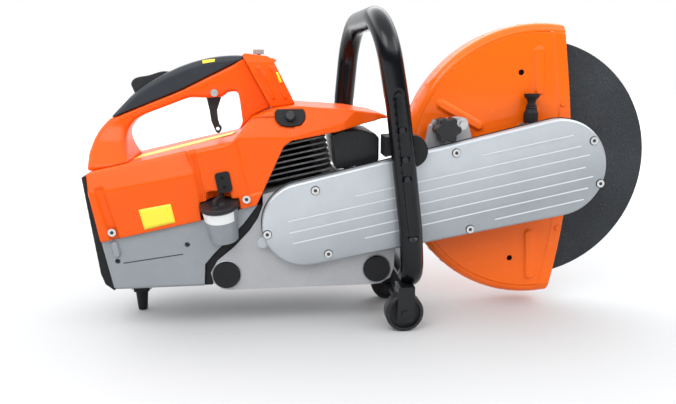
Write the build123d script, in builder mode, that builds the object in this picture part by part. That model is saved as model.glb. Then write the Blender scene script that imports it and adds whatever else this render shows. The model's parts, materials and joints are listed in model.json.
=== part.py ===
"""Petrol rescue saw (hand-held cut-off saw) with a 350 mm abrasive wheel, in millimetres.

Frame: +X runs forward to the wheel, +Y to the machine's left, +Z up. The origin is on the
ground, under the middle of the machine's box. The engine and the arm lie along one line that
rises forward from the crankshaft to the arbor.
"""

from build123d import *
from math import atan2, cos, degrees, hypot, radians, sin
import os

os.makedirs("parts", exist_ok=True)

# ---------------------------------------------------------------- driving dimensions
arbor_x, arbor_z = 225.0, 214.0          # wheel axis
crank_x, crank_z = -113.0, 145.5         # crankshaft axis
tilt = degrees(atan2(arbor_z - crank_z, arbor_x - crank_x))
reach = hypot(arbor_x - crank_x, arbor_z - crank_z)

disc_r, disc_t, disc_y = 175.0, 3.5, -13.5
guard_r, guard_sheet = 197.0, 2.0
guard_near, guard_far = -40.0, 10.0      # the guard's outer faces, across the machine

face_near, face_far = -91.5, 86.0        # side walls of the top housing
tank_near, tank_far = -86.5, 80.0
case_near, case_mid, case_far = -84.0, 10.0, 70.0
cover_face = -98.5                       # outer face of the belt cover
arm_back = -66.0                         # back of the arm

leg_y, grip_r = 115.0, 15.5              # front handle: half its width, and its outside radius
bore_r, stroke = 24.5, 34.0              # engine

drive_r, driven_r = 28.0, 54.0           # belt pitch radii
wheel_x, wheel_r = 19.0, 26.0            # guide wheels under the front handle

run = 0.3                                # gap between pieces that move past each other


# ---------------------------------------------------------------- planes and helpers
def side(y):
    """Side view plane at y: sketch x is X, sketch y is Z, and extruding goes towards -Y."""
    return Plane(origin=(0, y, 0), x_dir=(1, 0, 0), z_dir=(0, -1, 0))


def engine(y, along=0.0, up=0.0):
    """Side view plane turned into the arm's line, with its origin along and up from the crankshaft."""
    t = radians(tilt)
    x = crank_x + along * cos(t) - up * sin(t)
    z = crank_z + along * sin(t) + up * cos(t)
    return Plane(origin=(x, y, z), x_dir=(cos(t), 0, sin(t)), z_dir=(0, -1, 0))


def at_arbor(y):
    """Side view plane with its origin on the wheel's axis."""
    return Plane(origin=(arbor_x, y, arbor_z), x_dir=(1, 0, 0), z_dir=(0, -1, 0))


def outline(*points):
    """A closed straight-sided outline in the current sketch."""
    Polygon(*points, align=None)


def belt_shape(near_r, far_r, far_shift=0.0):
    """The outline round two circles, one at the crankshaft and one at the arbor."""
    with BuildSketch(mode=Mode.PRIVATE) as two:
        Circle(near_r)
        with Locations((reach + far_shift, 0)):
            Circle(far_r)
        make_hull()
    return two.sketch


def write(part, name):
    """Labels one sub-part and writes it to its own file."""
    part.label = name
    export_step(part, f"parts/{name}.step")


# ---------------------------------------------------------------- wheel, flanges and arbor
with BuildPart() as cutting_wheel:
    with BuildSketch(at_arbor(disc_y + disc_t / 2)):
        Circle(disc_r)
        Circle(12.7, mode=Mode.SUBTRACT)
    extrude(amount=disc_t)
write(cutting_wheel.part, "cutting_wheel")

flange_r = 51.0
with BuildPart() as arbor_shaft:
    with BuildSketch(at_arbor(disc_y - disc_t / 2 - 0.05)):
        Circle(10)
    extrude(amount=71)
    with BuildSketch(at_arbor(disc_y - disc_t / 2 - 0.05)):
        Circle(flange_r)
    extrude(amount=5)
    with BuildSketch(at_arbor(disc_y - disc_t / 2 - 5)):
        Circle(16)
    extrude(amount=13.5)
    with BuildSketch(at_arbor(disc_y - disc_t / 2 - 0.05)):
        Circle(12.6)
    extrude(amount=-3.3)
    chamfer(arbor_shaft.edges().filter_by(GeomType.CIRCLE).group_by(SortBy.RADIUS)[-1], 1.5)
    with BuildSketch(at_arbor(disc_y + 1.5)):
        Circle(4.2)
    extrude(amount=24, mode=Mode.SUBTRACT)
write(arbor_shaft.part, "arbor_shaft")

with BuildPart() as outer_flange:
    with BuildSketch(at_arbor(disc_y + disc_t / 2 + 5.5)):
        Circle(flange_r)
    extrude(amount=5.4)
    with BuildSketch(at_arbor(disc_y + disc_t / 2 + 3)):
        Circle(flange_r - 6)
        Circle(22, mode=Mode.SUBTRACT)
    extrude(amount=-3, mode=Mode.SUBTRACT)
    with BuildSketch(at_arbor(disc_y + disc_t / 2 + 5.5)):
        Circle(4.3)
    extrude(amount=8, mode=Mode.SUBTRACT)
write(outer_flange.part, "outer_flange")

with BuildPart() as arbor_bolt:
    with BuildSketch(at_arbor(disc_y + disc_t / 2 + 5.6)):
        RegularPolygon(9.2, 6)
    extrude(amount=-6.5)
    with BuildSketch(at_arbor(disc_y + disc_t / 2 + 5.6)):
        Circle(4.1)
    extrude(amount=26)
write(arbor_bolt.part, "arbor_bolt")

# ---------------------------------------------------------------- belt drive
pulley_back, pulley_face = -73.2, -84.4
groove = 8.6

with BuildPart() as driven_pulley:
    with BuildSketch(at_arbor(pulley_back)):
        Circle(driven_r + 3)
        Circle(10.02, mode=Mode.SUBTRACT)
    extrude(amount=pulley_back - pulley_face)
    with BuildSketch(at_arbor((pulley_back + pulley_face + groove) / 2)):
        Circle(driven_r + 4)
        Circle(driven_r - 3, mode=Mode.SUBTRACT)
    extrude(amount=groove, mode=Mode.SUBTRACT)
    with BuildSketch(at_arbor(pulley_back + 1)):
        with PolarLocations(31, 6):
            Circle(11)
    extrude(amount=20, mode=Mode.SUBTRACT)
write(driven_pulley.part, "driven_pulley")

with BuildPart() as clutch_drum:
    with BuildSketch(engine(pulley_back)):
        Circle(drive_r + 3)
    extrude(amount=pulley_back - pulley_face)
    with BuildSketch(engine((pulley_back + pulley_face + groove) / 2)):
        Circle(drive_r + 4)
        Circle(drive_r - 3, mode=Mode.SUBTRACT)
    extrude(amount=groove, mode=Mode.SUBTRACT)
    with BuildSketch(engine(pulley_face)):
        Circle(34)
    extrude(amount=10.6)
    with BuildSketch(engine(pulley_face - 1.6)):
        Circle(31)
    extrude(amount=10, mode=Mode.SUBTRACT)
    with BuildSketch(engine(pulley_back + 1)):
        Circle(8.55)
    extrude(amount=30, mode=Mode.SUBTRACT)
write(clutch_drum.part, "clutch_drum")

with BuildPart() as drive_belt:
    with BuildSketch(engine((pulley_back + pulley_face + groove) / 2 - run)):
        add(belt_shape(drive_r + 3, driven_r + 3))
        add(belt_shape(drive_r - 3 + run, driven_r - 3 + run), mode=Mode.SUBTRACT)
    extrude(amount=groove - 2 * run)
write(drive_belt.part, "drive_belt")

with BuildPart() as clutch:
    with BuildSketch(engine(pulley_face - 2)):
        Circle(28)
        Circle(8.52, mode=Mode.SUBTRACT)
        with PolarLocations(20, 3):
            Rectangle(26, 1.6, mode=Mode.SUBTRACT)
    extrude(amount=8)
write(clutch.part, "clutch")

# ---------------------------------------------------------------- crank train, at top dead centre
web_r, pin_r, rod_len = 33.0, 6.0, 62.0
crank_throw = stroke / 2

with BuildPart() as crankshaft:
    for y_far, y_near in ((case_mid + 80, case_mid + 6), (case_mid - 6, -96.0)):
        with BuildSketch(engine(y_far)):
            Circle(8.5)
        extrude(amount=y_far - y_near)
    for y_far in (case_mid + 14, case_mid - 6):
        with BuildSketch(engine(y_far)):
            Circle(web_r)
            with Locations((0, web_r - 4)):
                Rectangle(2 * web_r, 20, mode=Mode.SUBTRACT)
            with Locations((0, 10)):
                Rectangle(26, 32)
        extrude(amount=8)
    with BuildSketch(engine(case_mid + 6, up=crank_throw)):
        Circle(pin_r)
    extrude(amount=12)
write(crankshaft.part, "crankshaft")

with BuildPart() as connecting_rod:
    with BuildSketch(engine(case_mid + 4.5, up=crank_throw)):
        Circle(pin_r + 4.5)
        with Locations((0, rod_len)):
            Circle(9)
        with Locations((0, rod_len / 2)):
            Rectangle(9, rod_len)
        Circle(pin_r + 0.05, mode=Mode.SUBTRACT)
        with Locations((0, rod_len)):
            Circle(5.55, mode=Mode.SUBTRACT)
    extrude(amount=9)
write(connecting_rod.part, "connecting_rod")

piston_plane = Plane(
    origin=engine(case_mid, up=crank_throw + rod_len).origin,
    x_dir=engine(0).x_dir,
    z_dir=engine(0).y_dir,
)
with BuildPart() as piston:
    with BuildSketch(piston_plane.offset(-20)):
        Circle(bore_r - 0.1)
    extrude(amount=38)
    with BuildSketch(piston_plane.offset(-21)):
        Circle(bore_r - 4)
    extrude(amount=34, mode=Mode.SUBTRACT)
    with BuildSketch(engine(case_mid + 30, up=crank_throw + rod_len)):
        Circle(5.52)
    extrude(amount=60, mode=Mode.SUBTRACT)
    for ring in (8.0, 13.0):
        with BuildSketch(piston_plane.offset(ring)):
            Circle(bore_r + 1)
            Circle(bore_r - 1.5, mode=Mode.SUBTRACT)
        extrude(amount=1.6, mode=Mode.SUBTRACT)
    with BuildSketch(engine(case_mid + 22, up=crank_throw + rod_len)):
        Circle(5.5)
        Circle(3.2, mode=Mode.SUBTRACT)
    extrude(amount=44)
write(piston.part, "piston")

bearing_places = [
    (engine(case_mid + 29), 8.5), (engine(case_mid - 17), 8.5),
    (at_arbor(-38), 10.05), (at_arbor(-52), 10.05),
]
with BuildPart() as ball_bearings:
    for place, shaft_r in bearing_places:
        with BuildSketch(place):
            Circle(20)
            Circle(shaft_r, mode=Mode.SUBTRACT)
        extrude(amount=12)
        for depth in (0, 10.5):
            with BuildSketch(place.offset(depth)):
                Circle(17)
                Circle(13, mode=Mode.SUBTRACT)
            extrude(amount=1.5, mode=Mode.SUBTRACT)
write(ball_bearings.part, "ball_bearings")

# ---------------------------------------------------------------- cylinder
deck = 50.0                               # height of the cylinder's foot above the crankshaft
barrel_r, fin_pitch, fin_count = 33.0, 7.4, 9
cylinder_plane = Plane(
    origin=engine(case_mid, up=deck).origin, x_dir=engine(0).x_dir, z_dir=engine(0).y_dir
)
with BuildPart() as cylinder:
    with BuildSketch(cylinder_plane):
        RectangleRounded(80, 72, 8)
    extrude(amount=6)
    with BuildSketch(cylinder_plane):
        Circle(barrel_r)
    extrude(amount=72)
    for i in range(fin_count):
        with BuildSketch(cylinder_plane.offset(10 + i * fin_pitch)):
            with Locations((0, -9)):
                RectangleRounded(108, 126, 14)
        extrude(amount=2.2)
    with BuildSketch(cylinder_plane.offset(-1)):
        Circle(bore_r)
    extrude(amount=62, mode=Mode.SUBTRACT)
    with BuildSketch(cylinder_plane.offset(55)):
        Circle(6.05)
    extrude(amount=30, mode=Mode.SUBTRACT)
write(cylinder.part, "cylinder")

with BuildPart() as spark_plug:
    with BuildSketch(cylinder_plane.offset(61)):
        Circle(6)
    extrude(amount=17.9)
    with BuildSketch(cylinder_plane.offset(78.9)):
        RegularPolygon(8, 6)
    extrude(amount=3)
    with BuildSketch(cylinder_plane.offset(81.9)):
        Circle(9.5)
    extrude(amount=12)
    fillet(spark_plug.edges().filter_by(GeomType.CIRCLE).sort_by(Axis.Z)[-1:], 4)
write(spark_plug.part, "spark_plug")


# ---------------------------------------------------------------- crankcase, arm and belt cover
def arm_point(along, up):
    """A point of the arm's frame, as side view coordinates."""
    t = radians(tilt)
    return (crank_x + along * cos(t) - up * sin(t), crank_z + along * sin(t) + up * cos(t))


arm_near_r, arm_far_r, arm_shift = 55.5, 62.0, 5.0
cover_near_r, cover_far_r, cover_shift = 57.0, 67.0, 9.0
seal_case_side = [(-168, 171), (-175, 153), (-186, 137), (-207, 115), (-231, 95), (-240, 79), (-237, 65)]
seal_tank_side = [(-249, 61), (-247, 92), (-235, 106), (-214, 127), (-194, 147), (-181, 164), (-175, 172)]
plugs = [(-219, 76), (-14, 78)]
case_pockets = [
    [(-198, 59), (-28, 60), (-34, 96), (-112, 96), (-190, 96), (-205, 92)],
    [(-205, 99), (-164, 99), (-160, 125), (-160, 165), (-170, 150), (-184, 128)],
    [(-62, 101), (0, 101), (6, 120), (-16, 178), (-62, 190)],
]

with BuildPart() as crankcase:
    with BuildSketch(side(case_far)):
        outline(
            *seal_case_side, (-226, 56), (-215, 54), (-24, 55), (-8, 56.5), (5, 64), (10, 78), (12, 120),
            (-10, 180), arm_point(54, deck), arm_point(-46, deck),
        )
    extrude(amount=case_far - case_near)
    with BuildSketch(engine(arm_back)):
        add(belt_shape(arm_near_r + run, arm_far_r + run, arm_shift))
    extrude(amount=30, mode=Mode.SUBTRACT)
    with BuildSketch(engine(case_mid + 16)):
        Circle(web_r + 3)
    extrude(amount=30, mode=Mode.SUBTRACT)
    with BuildSketch(cylinder_plane.offset(1)):
        Circle(bore_r)
    extrude(amount=-45, mode=Mode.SUBTRACT)
    with BuildSketch(engine(case_far + 1)):
        Circle(9)
    extrude(amount=200, mode=Mode.SUBTRACT)
    for y_far in (case_mid + 29, case_mid - 17):
        with BuildSketch(engine(y_far)):
            Circle(20)
        extrude(amount=12, mode=Mode.SUBTRACT)
    for pocket in case_pockets:
        with BuildSketch(side(case_far - 5)):
            outline(*pocket)
        extrude(amount=case_far - arm_back - 10, mode=Mode.SUBTRACT)
    for x, z in plugs:
        with BuildSketch(side(case_near)):
            with Locations((x, z)):
                Circle(9.2)
        extrude(amount=-8, mode=Mode.SUBTRACT)
write(crankcase.part, "crankcase")

with BuildPart() as case_plugs:
    for x, z in plugs:
        with BuildSketch(side(case_near)):
            with Locations((x, z)):
                Circle(18.3)
        extrude(amount=4.5, taper=8)
        with BuildSketch(side(case_near)):
            with Locations((x, z)):
                Circle(9)
        extrude(amount=-7)
write(case_plugs.part, "case_plugs")

with BuildPart() as gap_seal:
    with BuildSketch(side(64)):
        outline(*seal_case_side, (-238, 61), *seal_tank_side)
    extrude(amount=64 + 81)
write(gap_seal.part, "gap_seal")

hub_r, hub_back = 30.0, -37.0
with BuildPart() as arm:
    with BuildSketch(engine(arm_back)):
        add(belt_shape(arm_near_r, arm_far_r, arm_shift))
    extrude(amount=arm_back - case_near)
    with BuildSketch(engine(-72)):
        add(belt_shape(arm_near_r - 4, arm_far_r - 3, arm_shift))
    extrude(amount=20, mode=Mode.SUBTRACT)
    with BuildSketch(engine(arm_back + 1)):
        Circle(21)
    extrude(amount=30, mode=Mode.SUBTRACT)
    with BuildSketch(at_arbor(hub_back)):
        Circle(hub_r)
    extrude(amount=hub_back - arm_back)
    with BuildSketch(at_arbor(hub_back + 1)):
        Circle(20)
    extrude(amount=28, mode=Mode.SUBTRACT)
    with BuildSketch(at_arbor(hub_back)):
        Circle(14)
    extrude(amount=50, mode=Mode.SUBTRACT)
write(arm.part, "arm")

cover_screw_places = [(-99, 192), (-163, 134), (-82, 105), (89, 239), (279, 253), (293, 194), (112, 134)]
rib_lines = [
    (41.2, -100, 25), (24.1, -271, 37), (9.8, -361, 50), (-5.9, -359, 45), (-21.0, -355, 57),
    (-35.3, -258, 51), (-50.0, -79, 46),
]
with BuildPart() as belt_cover:
    with BuildSketch(engine(case_near)):
        add(belt_shape(cover_near_r, cover_far_r, cover_shift))
    extrude(amount=case_near - cover_face)
    fillet(belt_cover.faces().sort_by(Axis.Y)[0].edges(), 4)
    with BuildSketch(side(case_near)):
        with Locations((-169, 121)):
            Circle(7.5)
    extrude(amount=7)
    with BuildSketch(engine(case_near + 1)):
        add(belt_shape(cover_near_r - 8, cover_far_r - 7, cover_shift))
    extrude(amount=13, mode=Mode.SUBTRACT)
    for up, start, stop in rib_lines:
        length = (stop - start) * 1.02
        middle = reach + (start + stop) / 2 * 1.02 + up * 0.2
        with BuildSketch(engine(cover_face + 0.2, middle, up)):
            SlotOverall(length, 1.8)
        extrude(amount=1.0)
    for x, z in cover_screw_places:
        with BuildSketch(side(cover_face - 1)):
            with Locations((x, z)):
                Circle(6.2)
        extrude(amount=-2.5, mode=Mode.SUBTRACT)
        with BuildSketch(side(cover_face)):
            with Locations((x, z)):
                Circle(2.5)
        extrude(amount=-20, mode=Mode.SUBTRACT)
write(belt_cover.part, "belt_cover")

# ---------------------------------------------------------------- wheel guard
corner_r = 12.0


def guard_region(front_trim=0.0):
    """The part of the disc that the guard covers, up to its bowed front edge."""
    edge = [(24, -215), (37, -150), (48, -60), (50, 0), (46, 70), (36, 145), (26, 215)]
    with BuildSketch(mode=Mode.PRIVATE) as region:
        with BuildLine():
            front = Spline(*[(x - front_trim, z) for x, z in edge])
            Polyline(front @ 1, (-220, 215), (-220, -215), front @ 0)
        make_face()
    return region.sketch


with BuildPart() as guard_band:
    section = Plane(origin=(arbor_x, 0, arbor_z), x_dir=(1, 0, 0), z_dir=(0, 0, 1))
    with BuildSketch(section):
        outer = guard_r - corner_r
        with BuildLine():
            Line((outer, guard_near), (outer, guard_near + guard_sheet))
            RadiusArc(
                (outer, guard_near + guard_sheet),
                (guard_r - guard_sheet, guard_near + corner_r), -(corner_r - guard_sheet),
            )
            Line((guard_r - guard_sheet, guard_near + corner_r), (guard_r - guard_sheet, guard_far - corner_r))
            RadiusArc(
                (guard_r - guard_sheet, guard_far - corner_r),
                (outer, guard_far - guard_sheet), -(corner_r - guard_sheet),
            )
            Line((outer, guard_far - guard_sheet), (outer, guard_far))
            RadiusArc((outer, guard_far), (guard_r, guard_far - corner_r), corner_r)
            Line((guard_r, guard_far - corner_r), (guard_r, guard_near + corner_r))
            RadiusArc((guard_r, guard_near + corner_r), (outer, guard_near), corner_r)
        make_face()
    revolve(axis=Axis((arbor_x, 0, arbor_z), (0, 1, 0)))
    with BuildSketch(at_arbor(guard_far + 5)):
        add(guard_region())
    extrude(amount=70, mode=Mode.INTERSECT)
write(guard_band.part, "guard_band")

guard_holes = [(-30, 129), (-32, -141)]
rivet_places = [(33, 85), (37, -97)]
with BuildPart() as guard_side_near:
    with BuildSketch(at_arbor(guard_near + guard_sheet)):
        Circle(guard_r - corner_r)
        add(guard_region(), mode=Mode.INTERSECT)
        Circle(hub_r + run, mode=Mode.SUBTRACT)
        with Locations(*guard_holes):
            Circle(4, mode=Mode.SUBTRACT)
    extrude(amount=guard_sheet)
    with BuildSketch(at_arbor(guard_near)):
        Circle(guard_r - corner_r)
        add(guard_region(), mode=Mode.INTERSECT)
        add(guard_region(17), mode=Mode.SUBTRACT)
    extrude(amount=1.2)
    with BuildSketch(at_arbor(guard_near)):
        with Locations((-116, 70)):
            SlotOverall(76, 14, rotation=-29)
    extrude(amount=5, taper=30)
    with BuildSketch(at_arbor(guard_near)):
        with Locations((-4, 131)):
            SlotOverall(68, 15, rotation=94)
        with Locations((-3, -136)):
            SlotOverall(78, 16, rotation=94)
    extrude(amount=3.5, taper=35)
write(guard_side_near.part, "guard_side_near")

with BuildPart() as guard_side_far:
    with BuildSketch(at_arbor(guard_far)):
        Circle(guard_r - corner_r)
        add(guard_region(), mode=Mode.INTERSECT)
        with Locations((-116, -70)):
            SlotOverall(70, 14, rotation=30, mode=Mode.SUBTRACT)
        Circle(60, mode=Mode.SUBTRACT)
    extrude(amount=guard_sheet)
write(guard_side_far.part, "guard_side_far")

with BuildPart() as guard_rivets:
    for x, z in rivet_places:
        with BuildSketch(at_arbor(guard_near - 1.2)):
            with Locations((x, z)):
                Circle(4.2)
        extrude(amount=2.0, taper=30)
write(guard_rivets.part, "guard_rivets")

# ---------------------------------------------------------------- guard clamp and water connector
knob_x, knob_z, knob_back = 80.0, 268.0, -71.5
with BuildPart() as guard_bracket:
    with BuildSketch(side(-50)):
        outline((56, 222), (56, 246), (61, 272), (70, 279), (99, 284), (111, 282), (119, 258), (119, 232))
    extrude(amount=15.9)
    fillet(guard_bracket.edges().filter_by(Axis.Y).group_by(Axis.Z)[-1], 4)
    with BuildSketch(side(-50)):
        with Locations((knob_x, knob_z)):
            Circle(5.2)
    extrude(amount=20, mode=Mode.SUBTRACT)
write(guard_bracket.part, "guard_bracket")

with BuildPart() as star_knob:
    with BuildSketch(side(knob_back)):
        with Locations((knob_x, knob_z)):
            Circle(14.5)
            with PolarLocations(12.8, 6):
                Circle(5.6)
    extrude(amount=18)
    fillet(star_knob.faces().sort_by(Axis.Y)[0].edges(), 2.5)
    with BuildSketch(side(knob_back)):
        with Locations((knob_x, knob_z)):
            Circle(5.1)
    extrude(amount=-18)
write(star_knob.part, "star_knob")

elbow_x, elbow_z, boot_out = 207.0, 266.0, 13.0
with BuildPart() as water_elbow:
    with BuildSketch(side(guard_near)):
        with Locations((elbow_x, elbow_z - 4)):
            RectangleRounded(26, 22, 5)
    extrude(amount=3)
    with BuildSketch(side(guard_near - 3)):
        with Locations((elbow_x, elbow_z - 4)):
            Circle(7.5)
    extrude(amount=boot_out)
    with BuildSketch(Plane.XY.offset(elbow_z - 12)):
        with Locations((elbow_x, guard_near - boot_out)):
            Circle(8)
    extrude(amount=16)
    with BuildSketch(Plane.XY.offset(elbow_z - 4)):
        with Locations((elbow_x, guard_near - boot_out)):
            Circle(6.5)
    extrude(amount=12)
write(water_elbow.part, "water_elbow")

boot_profile = [
    (0, 0), (9.4, 0), (10.2, 6), (9.8, 14), (7.8, 18), (7.2, 19.4), (8.0, 20.8), (6.8, 22.4), (7.4, 24),
    (5.6, 25.6), (5.2, 28), (6.4, 32), (10.4, 36.5), (11, 40), (0, 40),
]
boot_base = Plane(origin=(elbow_x, guard_near - boot_out, elbow_z + 8), x_dir=(1, 0, 0), z_dir=(0, -1, 0))
with BuildPart() as water_boot:
    with BuildSketch(boot_base):
        outline(*boot_profile)
    revolve(axis=Axis(boot_base.origin, (0, 0, 1)))
    with BuildSketch(Plane.XY.offset(elbow_z + 49)):
        with Locations((elbow_x, guard_near - boot_out)):
            Circle(6.5)
    extrude(amount=-6, mode=Mode.SUBTRACT)
write(water_boot.part, "water_boot")


# ---------------------------------------------------------------- fuel tank, filler and cap
cap_centre = (-224.0, -94.0, 171.0)
cap_axis = (-0.09, -0.22, 0.97)
cap_plane = Plane(origin=cap_centre, x_dir=(1, 0, 0.093), z_dir=cap_axis)
seam = [(-379, 127), (-249, 153), (-197, 167), (-176, 172)]
neck_h, neck_foot_r, neck_taper = 46.0, 18.6, 5.5
tank_wall = 3.0

with BuildPart() as fuel_tank:
    with BuildSketch(side(tank_far)):
        outline((-367, 64), (-364, 60), *seal_tank_side, *[(x, z - 0.4) for x, z in reversed(seam)][1:])
    extrude(amount=tank_far - tank_near)
    fillet(fuel_tank.edges().filter_by(Axis.Y).sort_by(Axis.X)[:2], 1.5)
    fillet(fuel_tank.edges().filter_by(lambda e: abs(e.center().Y - tank_near) < 0.1 and e.center().Z < 61), 5)
    with BuildSketch(cap_plane.offset(-neck_h)):
        Circle(neck_foot_r)
    extrude(amount=neck_h, taper=-neck_taper)
    with BuildSketch(side(tank_near)):
        with Locations((-361, 117)):
            SlotOverall(24, 11, rotation=100)
    extrude(amount=4.5, taper=25)
    with BuildSketch(side(case_far)):
        outline(*seal_tank_side, (-100, 172), (-100, 61))
    extrude(amount=case_far - case_near + run, mode=Mode.SUBTRACT)
    with BuildSketch(side(tank_far - tank_wall)):
        outline(
            (-363, 67), (-253, 67), (-251, 94), (-237, 110), (-217, 131), (-199, 150), (-200, 161),
            (-250, 148), (-374, 123),
        )
    extrude(amount=tank_far - tank_near - 2 * tank_wall, mode=Mode.SUBTRACT)
    with BuildSketch(cap_plane.offset(1)):
        Circle(16)
    extrude(amount=-neck_h + 8, mode=Mode.SUBTRACT)
    for x, z in ((-360, 100), (-269, 120)):
        with BuildSketch(side(tank_near)):
            with Locations((x, z)):
                Circle(7)
        extrude(amount=-13)
        with BuildSketch(side(tank_near)):
            with Locations((x, z)):
                Circle(3.5)
        extrude(amount=-10, mode=Mode.SUBTRACT)
write(fuel_tank.part, "fuel_tank")

cap_r = 25.0
with BuildPart() as fuel_cap:
    with BuildSketch(cap_plane.offset(0.3)):
        Circle(cap_r)
    extrude(amount=6)
    fillet(fuel_cap.edges().sort_by(SortBy.DISTANCE)[-1:], 0.8)
    with BuildSketch(cap_plane.offset(0.3)):
        Circle(15.6)
    extrude(amount=-14)
    with BuildSketch(cap_plane.offset(6)):
        SlotOverall(30, 7, rotation=68)
    extrude(amount=10, taper=4)
    with BuildSketch(cap_plane.offset(6)):
        Circle(9)
    extrude(amount=3, taper=20)
write(fuel_cap.part, "fuel_cap")

with BuildPart() as rear_bumper:
    with BuildSketch(side(70)):
        outline(
            (-400, 212), (-395, 166), (-390, 124), (-385, 81), (-380, 66), (-369, 57), (-364.5, 60),
            (-367.5, 64), (-379.5, 127), (-394.5, 213),
        )
    extrude(amount=150)
write(rear_bumper.part, "rear_bumper")

# ---------------------------------------------------------------- top housing
wall = 3.0


def housing_front(top, sides, plan, name):
    """The nose of the housing: what three outlines, from the side, the front and above, have in common."""
    with BuildPart(mode=Mode.PRIVATE) as nose:
        with BuildSketch(side(120)):
            Polygon(*top, align=None)
        extrude(amount=240)
        with BuildSketch(Plane(origin=(-240, 0, 0), x_dir=(0, 1, 0), z_dir=(1, 0, 0))):
            Polygon(*sides, align=None)
        extrude(amount=280, mode=Mode.INTERSECT)
        with BuildSketch(Plane.XY.offset(200)):
            Polygon(*plan, align=None)
        extrude(amount=140, mode=Mode.INTERSECT)
    nose.part.label = name
    return nose.part


nose_top = [
    (-215, 250), (-205, 257), (-180, 285), (-150, 297), (-122, 301), (-67, 297), (-44, 295), (-10, 290),
    (2, 286), (11, 281), (-5, 281), (-32, 276), (-67, 267), (-129, 256), (-137, 250),
]
nose_sides = [(-91.5, 240), (-91.5, 261), (-73, 303), (61, 303), (86, 262), (86, 240)]
nose_plan = [
    (-230, -95), (-129, -91.5), (-60, -84), (-14, -64), (6, -42), (12, -20), (12, 0), (6, 22), (-14, 48),
    (-60, 76), (-129, 86), (-230, 90),
]
nose_room_top = [
    (-214, 240), (-203, 255), (-178.5, 282), (-149, 294), (-122, 298), (-67, 294), (-44, 292), (-12, 287),
    (-6, 283), (-20, 240),
]
nose_room_sides = [(-88.5, 230), (-88.5, 260), (-71, 300), (59, 300), (83, 261), (83, 230)]
nose_room_plan = [
    (-230, -92), (-129, -88.5), (-61, -81), (-16, -61), (3, -40), (8, -18), (8, -2), (3, 20), (-16, 45),
    (-61, 73), (-129, 83), (-230, 87),
]

plate_lean = degrees(atan2(18.5, 42))
plate_plane = Plane(
    origin=(-130, -80.6, 286), x_dir=(1, 0, 0),
    z_dir=(0, -cos(radians(plate_lean)), sin(radians(plate_lean))),
)


def plate_outline():
    """The rounded plate round the decompression button, wide at the top."""
    with BuildSketch(mode=Mode.PRIVATE) as plate:
        with BuildLine():
            top = Line((-17, 11), (17, 11))
            front = RadiusArc(top @ 1, (12, -10), 15)
            under = RadiusArc(front @ 1, (-12, -10), 42)
            RadiusArc(under @ 1, top @ 0, 15)
        make_face()
    return plate.sketch


lean, lean_rise = radians(22.0), radians(10.0)     # the near wall's upper band leans inwards
lean_plane = Plane(
    origin=(-254, face_near, 215),
    x_dir=(cos(lean_rise), 0, sin(lean_rise)),
    z_dir=(-sin(lean) * sin(lean_rise), -cos(lean), sin(lean) * cos(lean_rise)),
)
choke_x, choke_z = -235.0, 214.0
stop_x, stop_z = -322.0, 200.0
grommet = (-218.0, 204.0)
housing_screw_places = [(-363, 141), (-189, 181)]
with BuildPart() as top_housing:
    with BuildSketch(side(face_far)):
        outline(
            *seam, (-162, 200), (-142, 242), (-137, 252), (-129, 256), (-122, 262), (-205, 257), (-261, 245.5),
            (-348, 226), (-394, 216.5), (-388, 178),
        )
    extrude(amount=face_far - face_near)
    shoulder = [
        edge for edge in top_housing.edges().filter_by(Axis.Y, reverse=True)
        if edge.center().Z > 215 and edge.center().X < -205
    ]
    fillet(shoulder, 7)
    add(housing_front(nose_top, nose_sides, nose_plan, "nose"))
    with BuildSketch(side(face_far - wall)):
        outline(
            (-391, 213.3), (-348, 222.9), (-261, 242.4), (-205, 254), (-128, 259.5), (-40, 259.5), (-40, 60),
            (-366, 60), (-376, 127),
        )
    extrude(amount=face_far - face_near - 2 * wall, mode=Mode.SUBTRACT)
    add(housing_front(nose_room_top, nose_room_sides, nose_room_plan, "room"), mode=Mode.SUBTRACT)
    with BuildSketch(side(face_near + wall + 11.5)):
        outline((-391, 188), (-251, 212.5), (-259, 243), (-261, 242.4), (-348, 222.9), (-391, 213.3))
    extrude(amount=11.5)
    with BuildSketch(lean_plane):
        outline((-160, 0), (0, 0), (-9, 50), (-160, 50))
    extrude(amount=20, mode=Mode.SUBTRACT)
    with BuildSketch(cap_plane.offset(-7)):
        Circle(cap_r + 4.5)
    extrude(amount=18)
    with BuildSketch(cap_plane.offset(8)):
        Circle(20.5)
    extrude(amount=15)
    with BuildSketch(side(face_near)):
        outline((-300, 100), (-150, 100), (-150, 250), (-300, 250))
    extrude(amount=60, mode=Mode.SUBTRACT)
    with BuildSketch(cap_plane.offset(-24)):
        Circle(cap_r + 1.5)
    extrude(amount=32, mode=Mode.SUBTRACT)
    with BuildSketch(cap_plane.offset(8)):
        Circle(17.5)
    extrude(amount=12, mode=Mode.SUBTRACT)
    with BuildSketch(plate_plane.offset(-10)):
        add(plate_outline())
    extrude(amount=20, mode=Mode.SUBTRACT)
    with BuildSketch(side(face_far + 1)):
        with Locations((choke_x, choke_z)):
            Circle(3.06)
        with Locations((stop_x, stop_z)):
            SlotOverall(26, 5.2)
    extrude(amount=8, mode=Mode.SUBTRACT)
    with BuildSketch(side(face_near + 5)):
        with Locations(grommet):
            Rectangle(15, 22, rotation=10)
        with Locations(*housing_screw_places):
            Circle(2.5)
    extrude(amount=10, mode=Mode.SUBTRACT)
write(top_housing.part, "top_housing")

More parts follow.
